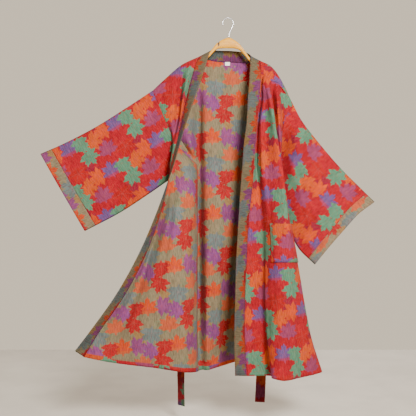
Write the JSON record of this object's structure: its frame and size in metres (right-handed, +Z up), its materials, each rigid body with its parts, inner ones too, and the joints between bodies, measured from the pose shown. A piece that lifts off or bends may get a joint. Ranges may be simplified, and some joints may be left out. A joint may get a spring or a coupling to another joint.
{
  "type": "kimono bathrobe on hanger",
  "caption": "Open kimono bathrobe with wide cuffed sleeves, a contrasting neckband, patch pockets and a looped belt, hung on a wooden hanger with a wire hook.",
  "frame": {"origin": "the point inside the hook, at the top of its bend, that the hanger hangs from", "axes": "+Z up, the robe's front faces -Y, +X to the right of someone who looks at its front"},
  "size_m": [1.2376, 0.3179, 1.4748],
  "materials": {
    "fabric_outside": "woven leaf jacquard, red face out, matt with a faint sheen",
    "fabric_reverse": "the same cloth, grey-green face out",
    "label_tape": "plain pale woven tape, bare",
    "hanger_wood": "pale wood, satin varnish",
    "hook_wire": "plated steel wire"
  },
  "bodies": {
    "root": {"left_front": "fabric_outside", "right_front": "fabric_outside", "back": "fabric_outside", "left_neckband": "fabric_reverse", "right_neckband": "fabric_reverse", "left_sleeve": "fabric_outside", "right_sleeve": "fabric_outside", "left_cuff": "fabric_reverse", "right_cuff": "fabric_reverse", "right_pocket": "fabric_outside", "left_pocket": "fabric_outside", "belt": "fabric_outside", "left_belt_loop": "fabric_outside", "right_belt_loop": "fabric_outside", "label": "label_tape", "hanger_wood": "hanger_wood", "hook": "hook_wire"}
  },
  "joints": []
}
